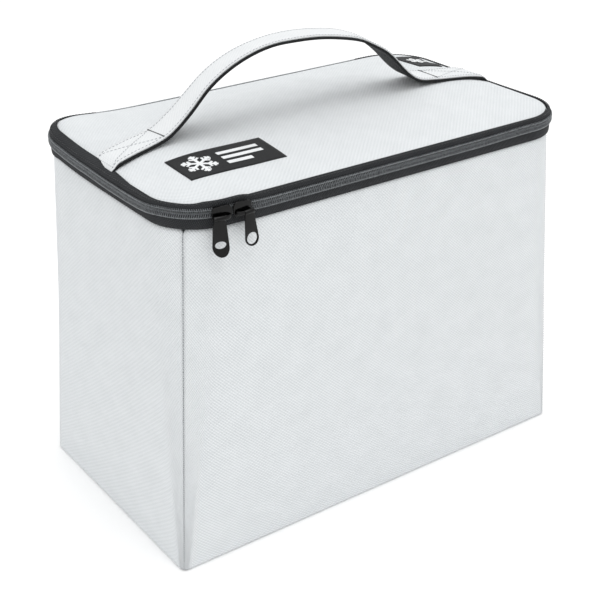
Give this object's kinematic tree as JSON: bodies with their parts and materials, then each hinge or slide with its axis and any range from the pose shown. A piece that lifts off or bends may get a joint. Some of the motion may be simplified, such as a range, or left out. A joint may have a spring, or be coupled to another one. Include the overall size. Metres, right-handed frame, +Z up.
{
  "type": "insulated cooler bag",
  "caption": "Box-shaped insulated cooler bag of white woven polyester with a zipped hinged lid, paired zip sliders and a sewn carrying handle.",
  "frame": {"origin": "centre of the base, on the surface that the bag stands on", "axes": "+Z up, X along the bag's width, -Y towards the front where the zip sliders rest"},
  "size_m": [0.35, 0.2072, 0.3271],
  "materials": {
    "white_polyester": "matte",
    "insulating_foam": "matte",
    "foil_liner": "satin",
    "binding_tape": "matte",
    "zip_tape": "matte",
    "zip_coil": "satin",
    "woven_label": "matte",
    "black_webbing": "matte",
    "black_metal": "gloss"
  },
  "bodies": {
    "bag": {"front_panel": "white_polyester", "back_panel": "white_polyester", "left_panel": "white_polyester", "right_panel": "white_polyester", "base_panel": "white_polyester", "front_foam": "insulating_foam", "back_foam": "insulating_foam", "left_foam": "insulating_foam", "right_foam": "insulating_foam", "base_foam": "insulating_foam", "liner_tub": "foil_liner", "rim_binding": "binding_tape", "lower_zip_tape": "zip_tape", "lower_zip_coil": "zip_coil", "hinge_gusset": "white_polyester"},
    "lid": {"lid_panel": "white_polyester", "lid_foam": "insulating_foam", "lid_liner": "foil_liner", "lid_binding": "binding_tape", "upper_zip_tape": "zip_tape", "upper_zip_coil": "zip_coil", "front_label": "woven_label", "side_label": "woven_label", "handle_webbing_ends": "black_webbing", "handle_cover_ends": "white_polyester"},
    "handle": {"handle_webbing": "black_webbing", "handle_cover": "white_polyester"},
    "left_slider": {"left_slider": "black_metal"},
    "left_pull": {"left_pull": "black_metal"},
    "right_slider": {"right_slider": "black_metal"},
    "right_pull": {"right_pull": "black_metal"}
  },
  "joints": [
    {"name": "lid_hinge", "type": "hinge", "parent": "bag", "child": "lid", "pos_m": [0, 0.1011, 0.2587], "axis": [-1, 0, 0], "range_deg": [0, 180], "deforming": ["hinge_gusset"]},
    {"name": "handle_tilt", "type": "hinge", "parent": "lid", "child": "handle", "pos_m": [0, -0.001, 0.2726], "axis": [1, 0, 0], "range_deg": [-40, 40], "stiffness_Nm_per_rad": 0.1},
    {"name": "left_slider_travel", "type": "hinge", "parent": "bag", "child": "left_slider", "pos_m": [-0.131, -0.061, 0.2587], "axis": [0, 0, -1], "range_deg": [0, 75]},
    {"name": "left_pull_swing", "type": "hinge", "parent": "left_slider", "child": "left_pull", "pos_m": [-0.14239, -0.1035, 0.2587], "axis": [-0.9659, 0.2588, 0], "range_deg": [0, 170]},
    {"name": "right_slider_travel", "type": "slide", "parent": "bag", "child": "right_slider", "axis": [1, 0, 0], "range_m": [0, 0.248]},
    {"name": "right_pull_swing", "type": "hinge", "parent": "right_slider", "child": "right_pull", "pos_m": [-0.125, -0.105, 0.2587], "axis": [-1, 0, 0], "range_deg": [0, 170]}
  ]
}
